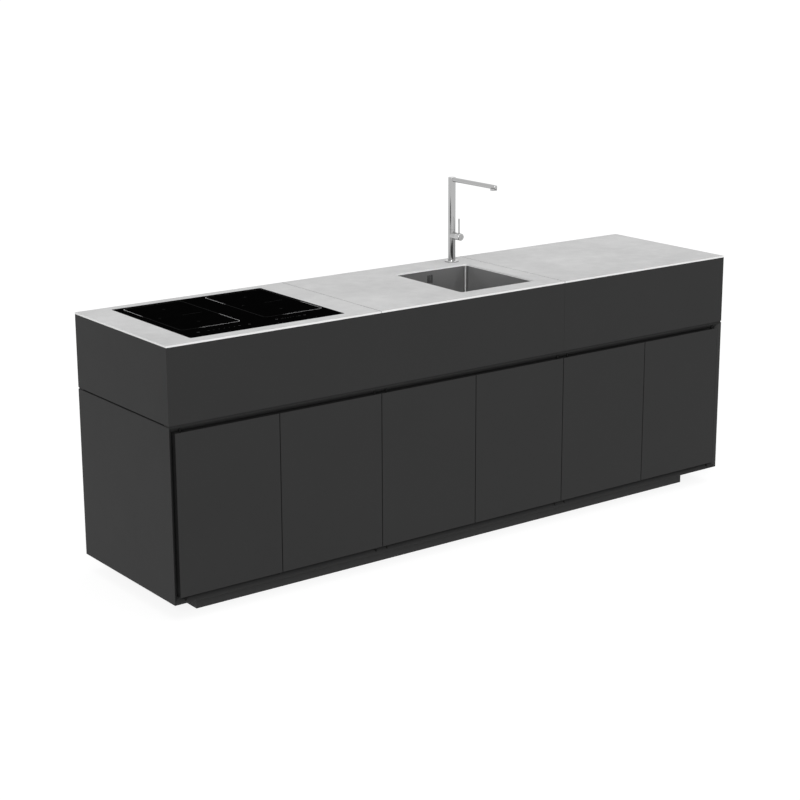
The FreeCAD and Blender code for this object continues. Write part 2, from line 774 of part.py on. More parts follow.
def tap_spout():
    """The turning tube and its level arm, hollow down to the aerator."""
    base = worktop_height + tap_swivel_level + tap_swivel_gap
    tube = rod(V(tap_x, tap_y, base), Z_AXIS, tap_radius, tap_top - base)
    tube = tube.makeFillet(spout_top_round, edges_at(tube, tap_top))
    arm_z = tap_top - spout_radius
    root = V(tap_x, tap_y, arm_z)
    arm = rod(root, -Y_AXIS, spout_radius, spout_reach)
    tip_y = tap_y - spout_reach
    tip = [edge for edge in arm.Edges if all(abs(v.Y - tip_y) < 1e-6 for v in edge.Vertexes)]
    arm = arm.makeFillet(spout_round, tip)
    outlet_y = tip_y + aerator_setback
    tube_bore = rod(V(tap_x, tap_y, base), Z_AXIS, tap_spigot_radius + tap_fit, arm_z - base)
    arm_bore = rod(root, -Y_AXIS, spout_bore, spout_reach - aerator_setback)
    drop_bore = rod(V(tap_x, outlet_y, arm_z - 2 * spout_radius), Z_AXIS, spout_bore, 2 * spout_radius)
    spout = tube.fuse(arm).cut(tube_bore).cut(arm_bore).cut(drop_bore)
    save("tap_spout", spout)
    ring_base = arm_z - spout_radius - aerator_height
    outer = rod(V(tap_x, outlet_y, ring_base), Z_AXIS, aerator_radius, aerator_height + spout_radius)
    saddle = rod(V(tap_x, outlet_y - spout_reach / 2, arm_z), Y_AXIS, spout_radius + tap_fit, spout_reach)
    sides = box(tap_x - aerator_radius, tap_x + aerator_radius, outlet_y - aerator_radius,
                outlet_y + aerator_radius, arm_z - spout_radius / 2, arm_z + spout_radius)
    bore = rod(V(tap_x, outlet_y, ring_base), Z_AXIS, aerator_bore, aerator_height / 2)
    save("tap_aerator", outer.cut(saddle).cut(sides).cut(bore))


def lever_pivot():
    return V(tap_x, tap_y - lever_reach, hub_level + lever_pivot_rise)


def tap_cap():
    """The turning end of the hub, slotted on top so that the lever can tilt forwards."""
    start_y = tap_y - tap_hub_length - cap_gap
    end_y = tap_y - tap_hub_length - cap_length
    cap = rod(V(tap_x, start_y, hub_level), -Y_AXIS, tap_hub_radius, start_y - end_y)
    rim = [edge for edge in cap.Edges if all(abs(v.Y - end_y) < 1e-6 for v in edge.Vertexes)]
    cap = cap.makeFillet(cap_round, rim)
    cap = cap.cut(rod(V(tap_x, start_y, hub_level), -Y_AXIS, cap_spigot_radius + tap_fit,
                      cap_spigot_length))
    pivot = lever_pivot()
    half = lever_hub_half + lever_clear
    cap = cap.cut(rod(V(tap_x - half, pivot.y, pivot.z), X_AXIS, lever_hub_radius + tap_fit, 2 * half))
    slot_half = lever_radius + lever_clear
    rise = tap_hub_radius - lever_pivot_rise
    slot_end = pivot.y - rise * tan(radians(lever_tilt)) - slot_half / cos(radians(lever_tilt))
    slot = box(tap_x - slot_half, tap_x + slot_half, slot_end, pivot.y + slot_half,
               pivot.z, hub_level + tap_hub_radius)
    save("tap_cap", cap.cut(slot))


def tap_lever():
    """A slim pin on a cross barrel that rocks inside the cap."""
    pivot = lever_pivot()
    pin = rod(pivot, Z_AXIS, lever_radius, hub_level + lever_top - pivot.z)
    pin = pin.makeFillet(lever_radius / 3, edges_at(pin, hub_level + lever_top))
    barrel = rod(V(tap_x - lever_hub_half, pivot.y, pivot.z), X_AXIS, lever_hub_radius,
                 2 * lever_hub_half)
    save("tap_lever", pin.fuse(barrel))


def main():
    os.makedirs("parts", exist_ok=True)
    plinth()
    lower_frame()
    partitions()
    door_stops()
    door_bumpers()
    doors()
    shelves()
    spacers()
    upper_frame()
    worktop()
    hob()
    sink()
    sink_waste()
    strainer_basket()
    waste_trap()
    tap_base()
    tap_column()
    tap_spout()
    tap_cap()
    tap_lever()


main()
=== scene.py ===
import json
from math import cos, pi, radians, sin

import bpy
import numpy as np
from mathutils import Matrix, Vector

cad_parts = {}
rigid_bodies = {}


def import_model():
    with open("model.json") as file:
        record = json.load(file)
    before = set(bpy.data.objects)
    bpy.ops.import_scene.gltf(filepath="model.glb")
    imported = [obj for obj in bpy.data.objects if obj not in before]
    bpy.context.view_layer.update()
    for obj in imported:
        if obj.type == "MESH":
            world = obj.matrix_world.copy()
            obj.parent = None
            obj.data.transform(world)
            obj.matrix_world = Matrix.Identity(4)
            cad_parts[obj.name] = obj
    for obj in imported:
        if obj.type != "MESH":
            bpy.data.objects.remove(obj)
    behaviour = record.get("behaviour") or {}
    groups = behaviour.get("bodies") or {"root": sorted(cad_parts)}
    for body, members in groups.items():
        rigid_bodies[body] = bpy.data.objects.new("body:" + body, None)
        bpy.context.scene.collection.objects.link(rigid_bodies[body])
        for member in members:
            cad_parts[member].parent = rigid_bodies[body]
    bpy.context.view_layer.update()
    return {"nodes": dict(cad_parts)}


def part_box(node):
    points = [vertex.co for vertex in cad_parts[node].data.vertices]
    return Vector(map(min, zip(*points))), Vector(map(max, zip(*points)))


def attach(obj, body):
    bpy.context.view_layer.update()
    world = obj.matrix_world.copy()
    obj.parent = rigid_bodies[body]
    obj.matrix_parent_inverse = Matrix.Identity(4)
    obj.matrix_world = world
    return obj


# Outdoor kitchen: its finishes, the hob's printed markings, the studio and the camera.
# Metres, in the CAD model's frame: X along the front, the front faces -Y, Z up.

# An empty scene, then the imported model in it
for left_over in list(bpy.data.objects):
    bpy.data.objects.remove(left_over)
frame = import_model()
scene = bpy.context.scene

# Camera: its place, the way it looks in degrees, and its framing
camera_place = (-3.84822, -5.03853, 2.19525)
camera_azimuth = 37.3860
camera_tilt = 14.3167
camera_lens = 81.9664
camera_sensor = 36.0
camera_shift = (-0.0300, -0.0375)

# Light: each lamp is a far, broad source, given as the direction it comes from,
# its strength as a share of full light, and how wide it looks in degrees
ambient_level = 0.36
lamps = {
    "key_left": ((-0.625, -0.678, 0.387), 0.547, 27.0),
    "fill_above": ((0.10, -0.25, 0.96), 0.276, 70.0),
}
white = (1.0, 1.0, 1.0, 1.0)

# Studio floor: the colour that lights the object, and the colour and glow that show
floor_colour = (0.80, 0.80, 0.80, 1.0)
floor_shadow_colour = (0.24, 0.24, 0.24, 1.0)
floor_glow = 0.855
floor_radius = 90.0
floor_first_ring = 0.5
floor_rings = 24
floor_spokes = 64

# Boards: the greys between which the grain varies, roughness and gloss
boards = {
    "front_board": (0.0318, 0.0362, 0.50, 0.05),
    # The plinth's grey is paler than the fronts': painted light against the shade under the
    # overhang
    "plinth_board": (0.0550, 0.0605, 0.50, 0.05),
    "carcass_board": (0.0240, 0.0290, 0.52, 0.06),
    "spacer_strip": (0.0240, 0.0280, 0.55, 0.06),
    "backing_board": (0.0300, 0.0380, 0.60, 0.16),
}
# The spacer's ends in the side gaps, nearly black: painted shade
spacer_end_painted_shade = (0.0022, 0.0034, 0.55, 0.04)
door_count = 6
door_cut_edge = 0.016

# Painted light and shade on the bevels of the lower frame, as shares of the board's own grey: the
# left, top and bottom bevels painted darker, the right one painted lighter
bevel_painted_light_and_shade = {
    "lower_side_left": 0.70,
    "lower_side_right": 1.25,
    "lower_top": 0.90,
    "lower_bottom": 0.80,
}

# Limits on the way a face looks, along one of its piece's own axes
square_facing = 0.9
edge_facing = 0.5
bevel_facing = -0.707
bevel_spread = 0.15

# Worktop stone: greys of its face, its cut edges and its filled joints; cut edges that face along X
# carry painted shade, and edges that face along Y behind the middle, among them the cut edge behind
# the sink, carry painted light
stone_dark = 0.590
stone_pale = 0.728
stone_grain = 0.53
stone_grain_share = 0.16
stone_speck = 0.42
stone_speck_share = 0.35
edge_dark = 0.84
edge_pale = 0.90
# Painted shade on cut edges that face along X, painted light on edges behind the middle
edge_across_painted_shade = 0.78
edge_rear_painted_light = 0.98
joint_filler = 0.05
joint_reach = 0.004

# Metals. Brush lines run square to the brush axis, which leans a little
# so that level faces have lines too, and the shine is turned by a quarter to spread across them
brush_axis = (0.0, -0.02, 1.0)
shine_turn = 0.25
line_roughness = 0.10
spangle_roughness = 0.34
spangle_drift = 0.18
coil_radius = 0.076
wire_pitch = 0.0025
wire_dark = (0.28, 0.11, 0.05, 1.0)
wire_bright = (0.72, 0.33, 0.17, 1.0)

# Hob print: how far it stands on the glass and reaches into it, and its wear
print_rise = 0.00006
print_sink = 0.00010
print_step = 0.002
print_wear = 0.30
print_least = 0.85
print_dark = 0.004
print_pale = 0.62
bar_points = 3
circle_points = 17

# Cooking zones: outlines that are bright round two opposite corners
zones = {"left": (-1.0675, -0.8468), "right": (-0.7555, -0.5290)}
zone_front = -0.1426
zone_back = 0.2424
zone_line = 0.0016
zone_corner = 0.013
zone_corner_points = 9
zone_side_run = 0.132
zone_front_run = 0.1518
zone_faint = 0.045
zone_bright = 0.9
zone_fade_points = 9

# Touch symbols and the faint marks inside the zones
symbol_rows = {"left": (-1.042, -0.845, -0.1972), "right": (-0.747, -0.6295, -0.1916)}
symbol_line = 0.0011
symbol_size = 0.0042
symbol_places = 11
symbol_bright = 0.15
ring_opening = (radians(120), radians(420))
ring_stem = 1.3
small_ring = 0.8
tick_reach = 0.7
mark_side = 0.078
mark_back = 0.113
mark_size = 0.006
mark_bright = 0.05


def fill(tree, node, inputs):
    """Fills a node's inputs: another node's output is linked, a plain value is set."""
    for name, value in inputs.items():
        if isinstance(value, bpy.types.NodeSocket):
            tree.links.new(value, node.inputs[name])
        else:
            node.inputs[name].default_value = value


def add(tree, kind, inputs=None, **attributes):
    """Adds a node, sets its attributes and fills its inputs."""
    made = tree.nodes.new(kind)
    for name, value in attributes.items():
        setattr(made, name, value)
    fill(tree, made, inputs or {})
    return made


def maths(tree, operation, first, second=0.0, third=0.0):
    made = add(tree, "ShaderNodeMath", {0: first, 1: second, 2: third}, operation=operation)
    return made.outputs[0]


def vector_maths(tree, operation, first, second=(0.0, 0.0, 0.0)):
    made = add(tree, "ShaderNodeVectorMath", {0: first, 1: second}, operation=operation)
    return made.outputs


def noise(tree, place, scale, detail, roughness, distortion=0.0):
    made = add(tree, "ShaderNodeTexNoise",
               {"Vector": place, "Scale": scale, "Detail": detail, "Roughness": roughness,
                "Distortion": distortion})
    return made.outputs[0]


def blend(tree, share, dark, light):
    """A colour between two others: a Mix node's colours are inputs 6 and 7 and output 2."""
    made = add(tree, "ShaderNodeMix", data_type="RGBA")
    fill(tree, made, {0: share, 6: dark, 7: light})
    return made.outputs[2]


def grey(level, warmth=0.0):
    return (level * (1 + warmth), level, level * (1 - warmth), 1.0)


def axes(tree, vector):
    return add(tree, "ShaderNodeSeparateXYZ", {"Vector": vector}).outputs


def object_place(tree):
    return add(tree, "ShaderNodeTexCoord").outputs["Object"]


def object_facing(tree):
    """The way the surface faces, on the piece's own axes, so that it turns with the piece."""
    return add(tree, "ShaderNodeTexCoord").outputs["Normal"]


def new_group(name, inputs, outputs):
    """A shader group: its tree, what it is given, and the node that takes its results."""
    group = bpy.data.node_groups.new(name, "ShaderNodeTree")
    for label, default in inputs.items():
        kind = "NodeSocketVector" if isinstance(default, tuple) else "NodeSocketFloat"
        socket = group.interface.new_socket(label, in_out="INPUT", socket_type=kind)
        socket.default_value = default
    for label in outputs:
        group.interface.new_socket(label, in_out="OUTPUT", socket_type="NodeSocketFloat")
    return group, add(group, "NodeGroupInput").outputs, add(group, "NodeGroupOutput")


def make_fine_grain():
    """A pressed grain: small noise for the height, mixed with a broader one for the tone."""
    group, given, result = new_group(
        "fine_grain", {"Scale": 600.0, "Patch": 5.0}, ("Tone", "Height"))
    grain_share = 0.35
    place = object_place(group)
    grain = noise(group, place, given["Scale"], detail=3.0, roughness=0.60)
    patch = noise(group, place, given["Patch"], detail=4.0, roughness=0.55)
    broad = maths(group, "MULTIPLY", patch, 1 - grain_share)
    tone = maths(group, "MULTIPLY_ADD", grain, grain_share, broad)
    fill(group, result, {"Tone": tone, "Height": grain})
    return group


def make_cloud():
    """Soft clouds: a broad noise mixed with a finer one, spread out from the middle tone."""
    group, given, result = new_group("cloud", {"Scale": 4.0, "Contrast": 1.6}, ("Tone",))
    fine_share, fine_scale, middle = 0.4, 6.5, 0.5
    place = object_place(group)
    broad = noise(group, place, given["Scale"], detail=5.0, roughness=0.58, distortion=0.4)
    finer = maths(group, "MULTIPLY", given["Scale"], fine_scale)
    fine = noise(group, place, finer, detail=5.0, roughness=0.62, distortion=0.2)
    broad_part = maths(group, "MULTIPLY", broad, 1 - fine_share)
    mixed = maths(group, "MULTIPLY_ADD", fine, fine_share, broad_part)
    centred = maths(group, "SUBTRACT", mixed, middle)
    tone = maths(group, "MULTIPLY_ADD", centred, given["Contrast"], middle)
    fill(group, result, {"Tone": add(group, "ShaderNodeClamp", {"Value": tone}).outputs[0]})
    return group


def make_specks():
    """Small round specks: the middles of cells, with a random share of the cells left bare."""
    group, given, result = new_group(
        "specks", {"Scale": 260.0, "Size": 0.22, "Bare": 0.55}, ("Mask",))
    cells = add(group, "ShaderNodeTexVoronoi",
                {"Vector": object_place(group), "Scale": given["Scale"]}).outputs
    near = add(group, "ShaderNodeMapRange",
               {"Value": cells["Distance"], "From Min": given["Size"], "From Max": 0.0})
    chance = add(group, "ShaderNodeSeparateColor", {"Color": cells["Color"]})
    kept = maths(group, "GREATER_THAN", chance.outputs[0], given["Bare"])
    fill(group, result, {"Mask": maths(group, "MULTIPLY", near.outputs[0], kept)})
    return group


def make_brush_lines():
    """Fine lines: noise drawn out along the direction in which Stretch is small."""
    group, given, result = new_group(
        "brush_lines", {"Stretch": (900.0, 900.0, 12.0)}, ("Tone", "Height"))
    drawn = vector_maths(group, "MULTIPLY", object_place(group), given["Stretch"])["Vector"]
    lines = noise(group, drawn, scale=1.0, detail=2.0, roughness=0.5)
    fill(group, result, {"Tone": lines, "Height": lines})
    return group


def make_handling():
    """Roughness that drifts a little over a surface, as on one that is wiped by hand."""
    group, given, result = new_group(
        "handling", {"Level": 0.4, "Drift": 0.1, "Scale": 7.0}, ("Roughness",))
    middle = 0.5
    smear = noise(group, object_place(group), given["Scale"],
                  detail=6.0, roughness=0.65, distortion=0.8)
    offset = maths(group, "SUBTRACT", smear, middle)
    level = maths(group, "MULTIPLY_ADD", offset, given["Drift"], given["Level"])
    fill(group, result, {"Roughness": level})
    return group


groups = {
    "fine_grain": make_fine_grain(),
    "cloud": make_cloud(),
    "specks": make_specks(),
    "brush_lines": make_brush_lines(),
    "handling": make_handling(),
}


def place_group(tree, name, **inputs):
    """Places a group, with an input's label written in small letters."""
    values = {label.capitalize(): value for label, value in inputs.items()}
    return add(tree, "ShaderNodeGroup", values, node_tree=groups[name]).outputs


def wiped(tree, level, drift, scale):
    return place_group(tree, "handling", level=level, drift=drift, scale=scale)["Roughness"]


def new_finish(name):
    """An empty material: its node tree and its Principled BSDF."""
    material = bpy.data.materials.new(name)
    material.use_nodes = True
    return material, material.node_tree, material.node_tree.nodes["Principled BSDF"]


def bump(tree, shader, height, depth, strength):
    made = add(tree, "ShaderNodeBump", {"Height": height, "Distance": depth, "Strength": strength})
    fill(tree, shader, {"Normal": made.outputs[0]})


def laminate(name, dark, pale, roughness, gloss, cut_edge=None, bevel_painted_share=None):
    """Dark compact laminate: a fine pressed grain with faint patches and wiped areas.

    Upright edges cut square may show another grey, and bevels carry painted light and shade as a
    share of the board's own grey.
    """
    material, tree, shader = new_finish(name)
    grain = place_group(tree, "fine_grain", scale=620.0, patch=4.0)
    tone = blend(tree, grain["Tone"], grey(dark), grey(pale))
    if cut_edge:
        aside = maths(tree, "ABSOLUTE", axes(tree, object_facing(tree))["X"])
        cut = maths(tree, "GREATER_THAN", aside, square_facing)
        tone = blend(tree, cut, tone, grey(cut_edge))
    # Painted light and shade: the bevels' grey is the board's own, scaled up or down
    if bevel_painted_share:
        ahead = axes(tree, object_facing(tree))["Y"]
        painted_bevel_mask = maths(tree, "COMPARE", ahead, bevel_facing, bevel_spread)
        painted_bevel_tone = blend(tree, grain["Tone"], grey(bevel_painted_share * dark), grey(bevel_painted_share * pale))
        tone = blend(tree, painted_bevel_mask, tone, painted_bevel_tone)
    fill(tree, shader, {"Base Color": tone,
                        "Roughness": wiped(tree, roughness, drift=0.10, scale=5.0),
                        "Specular IOR Level": gloss})
    bump(tree, shader, grain["Height"], depth=0.00004, strength=0.25)
    return material


def slab_joints(tree, place, across):
    """1 inside the joints between the slabs and round the hob, which are filled dark."""
    joint_x = -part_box("slab_left")[1].x
    from_middle = maths(tree, "ABSOLUTE", place["X"])
    from_joint = maths(tree, "ABSOLUTE", maths(tree, "SUBTRACT", from_middle, joint_x))
    at_joint = maths(tree, "MULTIPLY", maths(tree, "LESS_THAN", from_joint, joint_reach), across)
    low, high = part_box("hob_glass")
    before_right = maths(tree, "LESS_THAN", place["X"], high.x + joint_reach)
    past_left = maths(tree, "GREATER_THAN", place["X"], low.x - joint_reach)
    from_axis = maths(tree, "ABSOLUTE", place["Y"])
    between = maths(tree, "LESS_THAN", from_axis, high.y + joint_reach)
    beside = maths(tree, "MULTIPLY", before_right, past_left)
    at_hob = maths(tree, "MULTIPLY", beside, between)
    return maths(tree, "MAXIMUM", at_joint, at_hob)


def stone_slab(name):
    """Pale grey stone: soft clouds, sparse darker specks and paler cut edges, with painted shade on
    the cut edges that face along X and a painted highlight on the edges that face along Y behind
    the middle.
    """
    material, tree, shader = new_finish(name)
    cloud = place_group(tree, "cloud", scale=3.2, contrast=3.1)["Tone"]
    specks = place_group(tree, "specks", scale=190.0, size=0.28, bare=0.62)["Mask"]
    grain = place_group(tree, "fine_grain", scale=420.0, patch=30.0)
    place = axes(tree, object_place(tree))
    facing = axes(tree, object_facing(tree))
    grained = maths(tree, "MULTIPLY", grain["Tone"], stone_grain_share)
    specked = maths(tree, "MULTIPLY", specks, stone_speck_share)
    face = blend(tree, cloud, grey(stone_dark), grey(stone_pale))
    face = blend(tree, grained, face, grey(stone_grain))
    face = blend(tree, specked, face, grey(stone_speck))
    upright = maths(tree, "LESS_THAN", maths(tree, "ABSOLUTE", facing["Z"]), edge_facing)
    across = maths(tree, "GREATER_THAN", maths(tree, "ABSOLUTE", facing["X"]), edge_facing)
    along = maths(tree, "SUBTRACT", 1.0, across)
    # Edges behind the middle, among them the cut edge behind the sink, get painted light; edges
    # facing along X get painted shade
    rear_painted_light_mask = maths(tree, "MULTIPLY", maths(tree, "GREATER_THAN", place["Y"], 0.0), along)
    edge = blend(tree, cloud, grey(edge_dark), grey(edge_pale))
    edge = blend(tree, across, edge, grey(edge_across_painted_shade))
    edge = blend(tree, rear_painted_light_mask, edge, grey(edge_rear_painted_light))
    edge = blend(tree, slab_joints(tree, place, across), edge, grey(joint_filler))
    fill(tree, shader, {"Base Color": blend(tree, upright, face, edge),
                        "Roughness": wiped(tree, level=0.60, drift=0.12, scale=9.0),
                        "Specular IOR Level": 0.2})
    bump(tree, shader, grain["Height"], depth=0.00006, strength=0.25)
    return material


def black_glass(name):
    """Black hob glass: the coat's shine is strongest looked at from above."""
    material, tree, shader = new_finish(name)
    cloud = place_group(tree, "cloud", scale=18.0, contrast=1.4)
    facing = add(tree, "ShaderNodeLayerWeight", {"Blend": 0.5}).outputs["Facing"]
    shine = add(tree, "ShaderNodeMapRange",
                {"Value": facing, "From Min": 0.45, "From Max": 0.68, "To Min": 1.0, "To Max": 0.0})
    fill(tree, shader, {"Base Color": blend(tree, cloud["Tone"], grey(0.0010), grey(0.0022)),
                        "Roughness": wiped(tree, level=0.10, drift=0.05, scale=11.0),
                        "Specular IOR Level": 0.0,
                        "Coat Weight": shine.outputs[0],
                        "Coat Roughness": 0.04})
    return material


def soft_black(name, level, roughness):
    """Rubber or sealant: matt, with a fine uneven skin a fifth darker or paler than its grey."""
    material, tree, shader = new_finish(name)
    grain = place_group(tree, "fine_grain", scale=900.0, patch=60.0)
    tone = blend(tree, grain["Tone"], grey(level * 0.8), grey(level * 1.2))
    fill(tree, shader, {"Base Color": tone,
                        "Roughness": wiped(tree, roughness, drift=0.15, scale=40.0)})
    bump(tree, shader, grain["Height"], depth=0.00008, strength=0.4)
    return material


def drawn_metal(name, dark, pale, roughness, stretch, warmth=0.0, drift=0.12, brushed=0.0):
    """Brushed or turned metal: fine lines in tone and height, wiped areas in roughness.

    Brushed metal spreads its shine up and down, across lines that run level.
    """
    material, tree, shader = new_finish(name)
    lines = place_group(tree, "brush_lines", stretch=stretch)
    smooth = wiped(tree, roughness, drift, scale=9.0)
    fill(tree, shader, {
        "Base Color": blend(tree, lines["Tone"], grey(dark, warmth), grey(pale, warmth)),
        "Roughness": maths(tree, "MULTIPLY_ADD", lines["Tone"], line_roughness, smooth),
        "Metallic": 1.0})
    if brushed:
        level = vector_maths(tree, "CROSS_PRODUCT", object_facing(tree), brush_axis)
        fill(tree, shader, {"Anisotropic": brushed, "Anisotropic Rotation": shine_turn,
                            "Tangent": level["Vector"]})
    bump(tree, shader, lines["Height"], depth=0.00002, strength=0.15)
    return material


def spangled_sheet(name):
    """Zinc-coated sheet: flat crystal patches of slightly different tone."""
    material, tree, shader = new_finish(name)
    cells = add(tree, "ShaderNodeTexVoronoi", {"Vector": object_place(tree), "Scale": 90.0})
    tone = add(tree, "ShaderNodeSeparateColor", {"Color": cells.outputs["Color"]}).outputs[0]
    fill(tree, shader, {
        "Base Color": blend(tree, tone, grey(0.42), grey(0.58)),
        "Roughness": maths(tree, "MULTIPLY_ADD", tone, spangle_drift, spangle_roughness),
        "Metallic": 1.0})
    return material


def coil_copper(name):
    """Wound copper: rings round each of the four coils, found by folding X and Y."""
    material, tree, shader = new_finish(name)
    low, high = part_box("hob_coils")
    middle = (low + high) / 2
    eye = ((high.x - low.x) / 2 - coil_radius, (high.y - low.y) / 2 - coil_radius, 0.0)
    shifted = vector_maths(tree, "SUBTRACT", object_place(tree), (middle.x, middle.y, 0.0))
    folded = vector_maths(tree, "ABSOLUTE", shifted["Vector"])
    from_eye = vector_maths(tree, "SUBTRACT", folded["Vector"], eye)
    flat = vector_maths(tree, "MULTIPLY", from_eye["Vector"], (1.0, 1.0, 0.0))
    reach = vector_maths(tree, "LENGTH", flat["Vector"])["Value"]
    turns = maths(tree, "SINE", maths(tree, "MULTIPLY", reach, 2 * pi / wire_pitch))
    wire = maths(tree, "MULTIPLY_ADD", turns, 0.5, 0.5)
    fill(tree, shader, {"Base Color": blend(tree, wire, wire_dark, wire_bright),
                        "Roughness": wiped(tree, level=0.35, drift=0.15, scale=30.0),
                        "Metallic": 1.0})
    bump(tree, shader, wire, depth=0.0006, strength=0.6)
    return material


def pipe_plastic(name):
    """Moulded pale plastic with a slightly uneven, half-matt skin."""
    material, tree, shader = new_finish(name)
    grain = place_group(tree, "fine_grain", scale=500.0, patch=18.0)
    tone = blend(tree, grain["Tone"], grey(0.62, warmth=0.01), grey(0.72, warmth=0.01))
    fill(tree, shader, {"Base Color": tone,
                        "Roughness": wiped(tree, level=0.42, drift=0.15, scale=22.0)})
    bump(tree, shader, grain["Height"], depth=0.00005, strength=0.2)
    return material


def glass_print(name):
    """Ceramic print on the hob: the stroke's own brightness fades it into the glass."""
    material, tree, shader = new_finish(name)
    bright = add(tree, "ShaderNodeAttribute", attribute_name="bright").outputs["Fac"]
    grain = place_group(tree, "fine_grain", scale=1500.0, patch=200.0)
    wear = maths(tree, "MULTIPLY_ADD", grain["Tone"], print_wear, print_least)
    worn = maths(tree, "MULTIPLY", bright, wear)
    fill(tree, shader, {"Base Color": blend(tree, worn, grey(print_dark), grey(print_pale)),
                        "Roughness": wiped(tree, level=0.5, drift=0.1, scale=60.0),
                        "Specular IOR Level": 0.0})
    return material


# Finishes by the record's slots, and the pieces that have one of their own
slot_of = {name: piece.data.materials[0].name for name, piece in frame["nodes"].items()}
for imported in list(bpy.data.materials):
    bpy.data.materials.remove(imported)
finishes = {name: laminate(name, *tones) for name, tones in boards.items()}
finishes.update({
    "worktop_slab": stone_slab("worktop_slab"),
    "hob_glass": black_glass("hob_glass"),
    "rubber": soft_black("rubber", level=0.010, roughness=0.75),
    "tray_metal": spangled_sheet("tray_metal"),
    "coil_copper": coil_copper("coil_copper"),
    "sink_steel": drawn_metal("sink_steel", 0.230, 0.270, roughness=0.38,
                              stretch=(14.0, 14.0, 900.0), brushed=0.94),
    "pipe_plastic": pipe_plastic("pipe_plastic"),
    "tap_chrome": drawn_metal("tap_chrome", 0.42, 0.45, roughness=0.03,
                              stretch=(500.0, 500.0, 30.0), drift=0.03),
    "tap_fixing": drawn_metal("tap_fixing", 0.40, 0.52, roughness=0.32,
                              stretch=(60.0, 60.0, 1500.0), warmth=0.12),
    "pin_steel": drawn_metal("pin_steel", 0.010, 0.016, roughness=0.50,
                             stretch=(80.0, 80.0, 1800.0)),
})
special = {
    # Nearly black spacer ends: painted shade in the side gaps
    "spacer_cross_strips": laminate("spacer_end_painted_shade", *spacer_end_painted_shade),
    # The overflow housing is near-black: painted shade seen through the overflow slots
    "overflow_housing": soft_black("overflow_box_painted_shade", level=0.006, roughness=0.75),
    "tap_cap": drawn_metal("tap_cap_satin", 0.50, 0.54, roughness=0.24,
                           stretch=(300.0, 300.0, 300.0)),
}
# Lower frame boards whose bevels carry painted light and shade
for name, share in bevel_painted_light_and_shade.items():
    special[name] = laminate(name + "_board", *boards["front_board"], bevel_painted_share=share)
door_finish = laminate("door_board", *boards["front_board"], cut_edge=door_cut_edge)
special.update({"door_%d" % (i + 1): door_finish for i in range(door_count)})
for name, piece in frame["nodes"].items():
    piece.data.materials.clear()
    piece.data.materials.append(special.get(name, finishes[slot_of[name]]))


def rounded_outline(x0, x1, y0, y1, radius, corner_points):
    """A closed rectangle with round corners, anticlockwise from the middle of its front side.

    Each corner is a quarter circle about its own centre; the straights join the corners.
    """
    turn = np.linspace(0.0, pi / 2, corner_points)
    arc = radius * np.stack([np.cos(turn), np.sin(turn)], axis=1)
    spin = np.array([[0.0, 1.0], [-1.0, 0.0]])
    right_back = arc + (x1 - radius, y1 - radius)
    left_back = arc @ spin + (x0 + radius, y1 - radius)
    left_front = arc @ spin @ spin + (x0 + radius, y0 + radius)
    right_front = arc @ spin @ spin @ spin + (x1 - radius, y0 + radius)
    middle = np.array([[(x0 + x1) / 2, y0]])
    return np.concatenate([middle, right_front, right_back, left_back, left_front, middle])


def even_steps(path, step):
    """The path again, as points about a step apart along it."""
    along = np.concatenate([[0.0], np.cumsum(np.linalg.norm(np.diff(path, axis=0), axis=1))])
    count = max(2, int(round(along[-1] / step)) + 1)
    at = np.linspace(0.0, along[-1], count)
    return np.stack([np.interp(at, along, path[:, 0]), np.interp(at, along, path[:, 1])], axis=1)


def circle_path(x, y, radius, start=0.0, end=2 * pi):
    """Points round a circle, from one turn to another: centre + radius * (cos, sin)(turn)."""
    turn = np.linspace(start, end, circle_points)
    return np.stack([x + radius * np.cos(turn), y + radius * np.sin(turn)], axis=1)


def bar_path(x0, y0, x1, y1):
    """Points along a straight line: (1 - share) * start + share * end."""
    share = np.linspace(0.0, 1.0, bar_points)[:, None]
    return (1 - share) * np.array([x0, y0]) + share * np.array([x1, y1])


def stroke(path, line, brightness, level):
    """A printed stroke: a thin oblong profile carried along a flat path on the glass.

    Point i, corner j = path[i] + side[j] * line / 2 * across[i], at height z[j];
    across is the path's direction turned by a quarter. Ends are closed by a quad.
    """
    ahead = np.gradient(path, axis=0)
    ahead /= np.linalg.norm(ahead, axis=1)[:, None]
    across = np.stack([ahead[:, 1], -ahead[:, 0]], axis=1)
    side = np.array([1.0, 1.0, -1.0, -1.0])
    z = level + np.array([-print_sink, print_rise, print_rise, -print_sink])
    count, corners = len(path), len(side)
    flat = path[:, None, :] + side[None, :, None] * (line / 2) * across[:, None, :]
    heights = np.broadcast_to(z[None, :, None], (count, corners, 1))
    points = np.concatenate([flat, heights], axis=2).reshape(-1, 3)
    i, j = np.meshgrid(np.arange(count - 1), np.arange(corners), indexing="ij")
    here, onward, beside = corners * i, corners * (i + 1), (j + 1) % corners
    quads = np.stack([here + j, here + beside, onward + beside, onward + j], axis=-1)
    first = np.arange(corners)
    ends = np.stack([first[::-1], corners * (count - 1) + first])
    shade = np.repeat(np.broadcast_to(brightness, (count,)), corners)
    return points, np.concatenate([quads.reshape(-1, corners), ends]), shade


